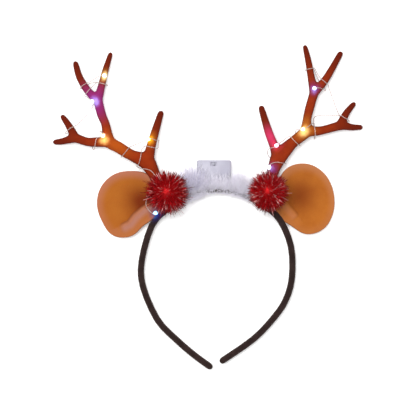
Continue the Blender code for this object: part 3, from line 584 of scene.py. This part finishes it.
def tinsel_finish():
    """Foil strips of deep red, painted near black in shade and bright red in light, and painted pale pink as
    glints.
    """
    finish, tree, shader = new_finish("crimson_tinsel", Metallic=0.55, Specular_IOR_Level=0.15)
    shade = add_node(tree, "Attribute", {"attribute_name": "shade"}).outputs["Fac"]
    ramp = add_node(tree, "ValToRGB", Fac=shade)
    stops = ramp.color_ramp.elements
    stops[0].position, stops[0].color = 0.0, (0.10, 0.0006, 0.0010, 1)
    stops[1].position, stops[1].color = 0.65, (0.41, 0.0013, 0.0030, 1)
    stops.new(0.93).color = (0.58, 0.003, 0.010, 1)
    # A painted glint: the few strips painted pale pink
    stops.new(0.97).color = (1.0, 0.50, 0.48, 1)
    gleam = add_node(tree, "MapRange", Value=shade, From_Min=0.6, From_Max=1.0, To_Min=0.42, To_Max=0.24)
    tree.links.new(ramp.outputs["Color"], shader.inputs["Base Color"])
    tree.links.new(gleam.outputs[0], shader.inputs["Roughness"])
    return finish


tinsel = tinsel_finish()
for side in ("left", "right"):
    radius, longest = POMPOM_SIZES[side]
    low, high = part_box("pompom_" + side)
    middle = Vector(((low.x + high.x) / 2, (low.y + high.y) / 2, POMPOM_MIDDLE)) + POMPOM_SHIFTS[side]
    strips = [bent_strip(4, 3, bend, 0.28, 0.30) for bend in (0.0, 0.9, 1.8, -1.2)]
    places, shades = [], []
    for _ in range(STRIP_COUNT):
        way = random_way()
        reach = radius * chance.uniform(0.86, 1.05)
        if chance.random() < LONG_SHARE:
            reach += longest * chance.random() ** 1.3
        if way.z < 0:
            reach = min(reach, (middle.z - POMPOM_CLEAR) / max(-way.z, 0.05))
        root = middle + way * STRIP_ROOT
        lean = (way + random_way() * 0.10).normalized()
        if lean.z < 0:
            reach = min(reach, (root.z - POMPOM_CLEAR) / max(-lean.z, 0.05))
        if reach < STRIP_SHORTEST:
            continue
        width = STRIP_WIDTH * chance.uniform(0.7, 1.25)
        places.append(standing(root, lean, reach - STRIP_ROOT, width, chance.uniform(0, math.tau)))
        # Painted light and shade: strips facing up are painted brighter, those round the sides darker; the rest
        # are painted glints
        facing = 0.12 + 0.62 * max(way.z, 0.0) + chance.uniform(-0.30, 0.30)
        deep = chance.random() < DEEP_SHARE
        shades.append(min(max(facing, 0.0), 0.95) if deep else chance.uniform(0.97, 1.0))
    ball = bmesh.new()
    ball.from_mesh(set_out(strips, places, shades, "strips"))
    core = bmesh.ops.create_icosphere(
        ball, subdivisions=3, radius=radius * CORE_SHARE, matrix=Matrix.Translation(middle)
    )
    shade_layer = ball.verts.layers.float["shade"]
    for vert in core["verts"]:
        vert.co.z = max(vert.co.z, POMPOM_CLEAR)
        vert[shade_layer] = CORE_SHADE
    piece_from(ball, "tinsel_pompom_" + side, tinsel, stands_for=["pompom_" + side])

# The battery case. It is a small box of frosted white plastic in two halves that meet in a seam low on its
# sides. It clips behind the top of the hoop, and its slide switch stands in a short slot at the top.
CASE_SEAM = (0.0028, 0.0031, 0.0034)
CASE_SEAM_DEPTH = 0.0003
CASE_ROUND = 0.0008
KNOB_ROUND = 0.00025
# The case's and knob's tints are painted: darker and bluer than white plastic, as painted shade and painted blue
# bead light
CASE_SHADE_TINTS = ((0.360, 0.350, 0.425, 1), (0.330, 0.320, 0.393, 1))
KNOB_SHADE_TINTS = ((0.30, 0.30, 0.36, 1), (0.22, 0.22, 0.27, 1))


def case_finish(name, tint, cloud_tint, rough):
    """Frosted plastic: a cloudy tint with painted shade and painted blue bead light in it, darker and bluer than
    white, and a faint moulded grain.
    """
    finish, tree, shader = new_finish(name)
    place = add_node(tree, "TexCoord").outputs["Object"]
    cloud = add_node(tree, "TexNoise", Vector=place, Scale=90.0, Detail=3.0)
    grain = add_node(tree, "TexNoise", Vector=place, Scale=2600.0, Detail=2.0)
    share = add_node(tree, "MapRange", Value=cloud.outputs["Fac"], From_Min=0.35, From_Max=0.7)
    blend = add_node(tree, "Mix", {"data_type": "RGBA"}, i0=share.outputs[0], i6=tint, i7=cloud_tint)
    varying = add_node(tree, "MapRange", Value=cloud.outputs["Fac"], To_Min=rough - 0.08, To_Max=rough + 0.12)
    bump = add_node(tree, "Bump", Strength=0.5, Distance=0.00008, Height=grain.outputs["Fac"])
    tree.links.new(blend.outputs[2], shader.inputs["Base Color"])
    tree.links.new(varying.outputs[0], shader.inputs["Roughness"])
    tree.links.new(bump.outputs["Normal"], shader.inputs["Normal"])
    return finish


frosted = case_finish("frosted_plastic", *CASE_SHADE_TINTS, 0.42)
shell = merged_copy("battery_case")
for height in CASE_SEAM:
    bmesh.ops.bisect_plane(
        shell, geom=shell.verts[:] + shell.edges[:] + shell.faces[:], dist=0.000005,
        plane_co=(0, 0, height), plane_no=(0, 0, 1),
    )
shell.normal_update()
seam = [vert for vert in shell.verts if abs(vert.co.z - CASE_SEAM[1]) < 0.00002]
for vert in seam:
    vert.co -= Vector((vert.normal.x, vert.normal.y, 0)).normalized() * CASE_SEAM_DEPTH
case = piece_from(shell, "battery_case_shell", frosted, stands_for=["battery_case"])
edge_round = case.modifiers.new("rounded edges", "BEVEL")
edge_round.width = CASE_ROUND
edge_round.segments = 3
edge_round.limit_method = "ANGLE"
edge_round.angle_limit = math.radians(40)

knob_plastic = case_finish("knob_plastic", *KNOB_SHADE_TINTS, 0.45)
knob = piece_from(
    merged_copy("switch_knob"), "switch_slider", knob_plastic, body="switch", stands_for=["switch_knob"]
)
edge_round = knob.modifiers.new("rounded edges", "BEVEL")
edge_round.width = KNOB_ROUND
edge_round.segments = 2

# The fluffy trim. It is a strip of long white plush wound round the top of the hoop and glued there. Its
# fibres stand in loose tufts, long above and in front, where they hide the case's lower half, and short below.
FUR_ENDS = (-0.0265, 0.0365)
FUR_COUNT = 9800
FUR_WIDTH = 0.00030
TUFT_COUNT = 90
# A strand's length below the hoop, and what it gains toward the top
FUR_SHORT = 0.0015
FUR_GROWTH = 0.0135
# The share of strands that are missing where the trim is thin, and the share that stand longer
BARE_SHARE = 0.70
PROUD_SHARE = 0.05
PROUD_LENGTH = 1.25
# Nothing over the case dips below this height
CASE_CLEAR = 0.0106
# The tall tuft to the left of the case: its share of the strands there, where its roots lie, and its lengths
TALL_SHARE = 0.6
TALL_ROOTS = (-0.0235, -0.0075)
TALL_LENGTHS = (0.016, 0.028)


def fur_finish():
    """White plush fibre, painted pale blue lilac as shade where a strand's tone is low."""
    finish, tree, shader = new_finish("white_plush", Roughness=0.8, Sheen_Weight=0.3)
    shade = add_node(tree, "Attribute", {"attribute_name": "shade"}).outputs["Fac"]
    ramp = add_node(tree, "ValToRGB", Fac=shade)
    stops = ramp.color_ramp.elements
    stops[0].position, stops[0].color = 0.0, (0.58, 0.55, 0.72, 1)
    stops[1].position, stops[1].color = 1.0, (0.92, 0.90, 0.96, 1)
    stops.new(0.12).color = (0.80, 0.77, 0.88, 1)
    tree.links.new(ramp.outputs["Color"], shader.inputs["Base Color"])
    return finish


plush = fur_finish()
wrapped = [
    face for face in hoop.data.polygons if FUR_ENDS[0] < face.center.x < FUR_ENDS[1] and face.center.y > 0.0
]
case_low, case_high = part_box("battery_case")
strips = [bent_strip(3, 3, bend, 1.0, 0.25) for bend in (1.5, 4.0, 9.0, -4.0, 14.0)]
tufts = [(chance.uniform(*FUR_ENDS), random_way()) for _ in range(TUFT_COUNT)]
places, shades = [], []
while len(places) < FUR_COUNT:
    face = chance.choice(wrapped)
    out = Vector(face.normal)
    root = Vector(face.center)
    if root.z < 0.0015 or (out.z < -0.2 and out.y > 0):
        continue
    above = 0.5 + 0.5 * out.y
    over_case = case_low.x - 0.001 < root.x < case_high.x + 0.001
    if over_case and out.y > 0.4 and root.z < 0.0115:
        continue
    bare = root.x > -0.004 and out.y < -0.25
    if bare and chance.random() < BARE_SHARE:
        continue
    tuft = min(tufts, key=lambda row: abs(row[0] - root.x) + chance.uniform(0, 0.002))
    length = FUR_SHORT + FUR_GROWTH * above**1.1
    length *= chance.uniform(0.55, 1.15) * (1 + 0.75 * math.exp(-(((root.x + 0.012) / 0.008) ** 2)))
    if chance.random() < PROUD_SHARE:
        length *= PROUD_LENGTH
    tall = TALL_ROOTS[0] < root.x < TALL_ROOTS[1] and out.y > 0.2 and chance.random() < TALL_SHARE
    if tall:
        length = chance.uniform(*TALL_LENGTHS) * (0.75 + 0.25 * (root.x - TALL_ROOTS[0]) / 0.016)
    ends = min(root.x - FUR_ENDS[0], FUR_ENDS[1] - root.x)
    way = out * 0.55 + Vector((0, 0.95 * above, 0.22)) + tuft[1] * 0.32 + random_way() * 0.34
    if ends < 0.004:
        way.x += math.copysign(0.35, root.x)
    if tall:
        way.x += chance.uniform(0.0, 0.55)
    way.normalize()
    tip = root + way * length
    if over_case and tip.y > case_low.y and tip.z < CASE_CLEAR + 0.0008:
        way = (Vector((tip.x, tip.y, CASE_CLEAR + chance.uniform(0.0008, 0.004))) - root).normalized()
    width = FUR_WIDTH * chance.uniform(0.7, 1.2)
    places.append(standing(root - out * 0.0004, way, length, width, chance.uniform(0, math.tau)))
    # Painted shade: each strand gets a random tone, and the tall tuft the darkest lilac
    shades.append(chance.uniform(0.0, 0.08) if tall else chance.uniform(0.12, 1.0))
trim_mesh = set_out(strips, places, shades, "plush_trim")
points = corner_places(trim_mesh)
over = (
    (points[:, 0] > case_low.x - 0.0005) & (points[:, 0] < case_high.x + 0.0005)
    & (points[:, 1] > case_low.y - 0.0002) & (points[:, 2] < CASE_CLEAR)
)
points[over, 2] = CASE_CLEAR
points[:, 2] = np.maximum(points[:, 2], 0.0006)
trim_mesh.vertices.foreach_set("co", points.ravel())
trim = bmesh.new()
trim.from_mesh(trim_mesh)
piece_from(trim, "plush_trim", plush, stands_for=["fur_trim"])

# The light wires. Each is a pair of hair-thin enamelled wires twisted together, silver with a faint warm cast.
# They come from the case, run along the hoop and wind round the antler from foot to crown.
WIRE_STRAND = 0.00018
WIRE_PITCH = 0.0034
WIRE_STEP = 0.0005
WIRE_TONES = ((0.47, 0.33, 0.29, 1), (0.58, 0.49, 0.47, 1))


def walk_from(ring):
    """The rings of corners met one after another, walking along the edges from this first ring."""
    rings, seen = [], set(ring)
    while ring:
        rings.append(ring)
        ring = {edge.other_vert(vert) for vert in ring for edge in vert.link_edges} - seen
        seen |= ring
    return rings


def ring_middle(ring):
    return sum((vert.co for vert in ring), Vector()) / len(ring)


def tube_middles(node):
    """The middle of each ring of a packed tube, from one end to the other."""
    tube = merged_copy(node)
    tube.normal_update()
    end = next(iter(walk_from({next(iter(tube.verts))})[-1]))
    way = end.co - ring_middle(walk_from({end})[3])
    cap = {max(end.link_faces, key=lambda face: face.normal.dot(way))}
    grow = list(cap)
    while grow:
        for edge in grow.pop().edges:
            for face in edge.link_faces:
                if face not in cap and edge.calc_face_angle(1) < 0.05:
                    cap.add(face)
                    grow.append(face)
    middles = [ring_middle(ring) for ring in walk_from({vert for face in cap for vert in face.verts})]
    tube.free()
    return middles


def even_line(points, step):
    """Points one step apart on a smooth line through these points."""
    fine = []
    padded = [points[0]] + points + [points[-1]]
    for a, b, c, d in zip(padded, padded[1:], padded[2:], padded[3:]):
        for k in range(12):
            fine.append(smooth_between(a, b, c, d, k / 12))
    fine.append(points[-1])
    line, left = [fine[0]], step
    for start, end in zip(fine, fine[1:]):
        span = (end - start).length
        while span >= left > 0:
            start = start.lerp(end, left / span)
            line.append(start)
            span -= left
            left = step
        left -= span
    return line


def wire_finish():
    """Silver wire under enamel, with a faint warm cast that comes and goes along it."""
    finish, tree, shader = new_finish("enamelled_wire", Metallic=0.6, Roughness=0.32)
    place = add_node(tree, "TexCoord").outputs["Object"]
    tone = add_node(tree, "TexNoise", Vector=place, Scale=400.0, Detail=2.0)
    blend = add_node(
        tree, "Mix", {"data_type": "RGBA"}, i0=tone.outputs["Fac"], i6=WIRE_TONES[0], i7=WIRE_TONES[1]
    )
    tree.links.new(blend.outputs[2], shader.inputs["Base Color"])
    return finish


enamel = wire_finish()
for side in ("left", "right"):
    line = even_line(tube_middles("light_wire_" + side), WIRE_STEP)
    strand = bpy.data.curves.new("strands", "CURVE")
    strand.dimensions = "3D"
    strand.bevel_depth = WIRE_STRAND
    strand.bevel_resolution = 1
    strand.use_fill_caps = True
    rows = ([], [])
    across = Vector((0, 0, 1))
    for index, spot in enumerate(line):
        along = (line[min(index + 1, len(line) - 1)] - line[max(index - 1, 0)]).normalized()
        across = (across - along * across.dot(along)).normalized()
        turn = math.tau * index * WIRE_STEP / WIRE_PITCH
        offset = Matrix.Rotation(turn, 3, along) @ across * WIRE_STRAND * 1.02
        rows[0].append(spot + offset)
        rows[1].append(spot - offset)
    for row in rows:
        spline = strand.splines.new("POLY")
        spline.points.add(len(row) - 1)
        for point, spot in zip(spline.points, row):
            point.co = (*spot, 1)
    twisted = bpy.data.objects.new("strands", strand)
    bpy.context.scene.collection.objects.link(twisted)
    mesh = bpy.data.meshes.new_from_object(twisted.evaluated_get(bpy.context.evaluated_depsgraph_get()))
    shape = bmesh.new()
    shape.from_mesh(mesh)
    bmesh.ops.remove_doubles(shape, verts=shape.verts, dist=0.000002)
    bmesh.ops.recalc_face_normals(shape, faces=shape.faces)
    bpy.data.objects.remove(twisted)
    piece_from(shape, "twisted_wire_" + side, enamel, stands_for=["light_wire_" + side])

# The beads. Each is a drop of clear resin cast round a tiny lamp on the wire. Lit, the lamp is almost white
# and the resin round it takes the lamp's colour.
BEAD_TAPER = 0.16
LAMP_SHARE = 0.52
LAMP_POWER = 6.0
RESIN_GLOW = 2.0


def resin_finish(name, colour):
    """Clear tinted resin that glows with the lamp inside it."""
    pale = tuple(0.35 + 0.65 * part for part in colour)
    finish, tree, shader = new_finish(
        name, Base_Color=(*pale, 1), Emission_Strength=RESIN_GLOW,
        Transmission_Weight=0.7, Roughness=0.12, IOR=1.5,
    )
    place = add_node(tree, "TexCoord").outputs["Object"]
    cloud = add_node(tree, "TexNoise", Vector=place, Scale=900.0, Detail=1.0)
    blend = add_node(tree, "Mix", {"data_type": "RGBA"}, i0=cloud.outputs["Fac"], i6=(*colour, 1), i7=(*pale, 1))
    tree.links.new(blend.outputs[2], shader.inputs["Emission Color"])
    return finish


def lamp_finish(name, colour):
    """The lit lamp: almost white, with a little of its colour."""
    glow = (*(0.45 + 0.55 * part for part in colour), 1)
    return new_finish(name, Base_Color=(0.9, 0.9, 0.9, 1), Emission_Color=glow, Emission_Strength=LAMP_POWER)[0]


def bead_frame(node):
    """A packed bead's middle, the way it lies, its half length and its radius."""
    bead = merged_copy(node)
    spots = np.array([tuple(vert.co) for vert in bead.verts])
    bead.free()
    low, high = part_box(node)
    middle = (low + high) / 2
    spread, ways = np.linalg.eigh(np.cov((spots - np.array(middle)).T))
    column = 2 if spread[2] - spread[1] > spread[1] - spread[0] else 0
    way = Vector(ways[:, column])
    along = (spots - np.array(middle)) @ np.array(way)
    off = np.linalg.norm(spots - np.array(middle) - np.outer(along, np.array(way)), axis=1)
    return middle, way, float(np.abs(along).max()), float(off.max())


for node, (_, colour, *_) in PAINTED_BEAD_LIGHT.items():
    middle, way, half, radius = bead_frame(node)
    lie = Matrix.Translation(middle) @ way.to_track_quat("Z", "Y").to_matrix().to_4x4()
    drop = bmesh.new()
    resin = bmesh.ops.create_uvsphere(drop, u_segments=20, v_segments=14, radius=1.0)
    for vert in resin["verts"]:
        share = vert.co.z
        swell = radius * (1 - BEAD_TAPER * share)
        vert.co = lie @ Vector((vert.co.x * swell, vert.co.y * swell, share * half))
    skin = set(drop.faces)
    lamp_size = Matrix.Diagonal((radius * LAMP_SHARE, radius * LAMP_SHARE, half * LAMP_SHARE, 1))
    bmesh.ops.create_icosphere(drop, subdivisions=2, radius=1.0, matrix=lie @ lamp_size)
    for face in drop.faces:
        face.material_index = 0 if face in skin else 1
    bead = piece_from(
        drop, node.replace("led", "bead"), resin_finish("resin_" + node, colour), stands_for=[node]
    )
    bead.data.materials.append(lamp_finish("lamp_" + node, colour))

# The stage: a plain pale floor, one wide soft light over the object, a pale surround, and a camera that
# looks straight down, as the photograph does. The floor glows a little, so shadows on it stay faint.
FLOOR_GLOW = 0.14
SURROUND_LIGHT = 0.70
OVERHEAD_PLACE = (-0.25, 0.30, 1.5)
OVERHEAD_SIZE = 0.9
OVERHEAD_POWER = 23
stage_shape = bmesh.new()
bmesh.ops.create_grid(stage_shape, x_segments=1, y_segments=1, size=3.0)
floor_mesh = bpy.data.meshes.new("floor")
stage_shape.to_mesh(floor_mesh)
stage_shape.free()
floor = bpy.data.objects.new("floor", floor_mesh)
bpy.context.scene.collection.objects.link(floor)
paper = new_finish(
    "paper", Base_Color=(0.95, 0.95, 0.95, 1), Roughness=0.9,
    Emission_Color=(1, 1, 1, 1), Emission_Strength=FLOOR_GLOW,
)[0]
floor_mesh.materials.append(paper)

surround = bpy.data.worlds.new("surround")
surround.use_nodes = True
surround.node_tree.nodes["Background"].inputs["Color"].default_value = (1, 1, 1, 1)
surround.node_tree.nodes["Background"].inputs["Strength"].default_value = SURROUND_LIGHT
bpy.context.scene.world = surround


def soft_light(name, place, aim, size, power):
    lamp = bpy.data.lights.new(name, "AREA")
    lamp.shape = "DISK"
    lamp.size = size
    lamp.energy = power
    holder = bpy.data.objects.new(name, lamp)
    holder.location = place
    holder.rotation_euler = (Vector(aim) - Vector(place)).to_track_quat("-Z", "Y").to_euler()
    bpy.context.scene.collection.objects.link(holder)


soft_light("overhead", OVERHEAD_PLACE, (0, 0, 0), OVERHEAD_SIZE, OVERHEAD_POWER)

# The photograph's frame spans this much at the height of the hoop's front, round this middle
FRAME_SIDE = 0.3652
FRAME_PLANE = 0.009
FRAME_MIDDLE = (-0.00026, -0.00031)
CAMERA_HEIGHT = 1.5
SENSOR = 36
eye = bpy.data.cameras.new("camera")
eye.sensor_width = SENSOR
eye.lens = SENSOR * (CAMERA_HEIGHT - FRAME_PLANE) / FRAME_SIDE
holder = bpy.data.objects.new("camera", eye)
holder.location = (*FRAME_MIDDLE, CAMERA_HEIGHT)
bpy.context.scene.collection.objects.link(holder)
bpy.context.scene.camera = holder
bpy.context.scene.view_settings.view_transform = "Standard"

# The lit beads bloom a little in the lens, as small bright lamps do
BLOOM = {"Threshold": 2.0, "Strength": 0.35, "Size": 0.25}
bpy.context.scene.use_nodes = True
lens = bpy.context.scene.node_tree
lens.nodes.clear()
picture = lens.nodes.new("CompositorNodeRLayers")
bloom = lens.nodes.new("CompositorNodeGlare")
bloom.glare_type = "BLOOM"
shown = lens.nodes.new("CompositorNodeComposite")
lens.links.new(picture.outputs["Image"], bloom.inputs["Image"])
lens.links.new(bloom.outputs["Image"], shown.inputs["Image"])
for name, value in BLOOM.items():
    if name in bloom.inputs:
        bloom.inputs[name].default_value = value

bpy.context.view_layer.update()
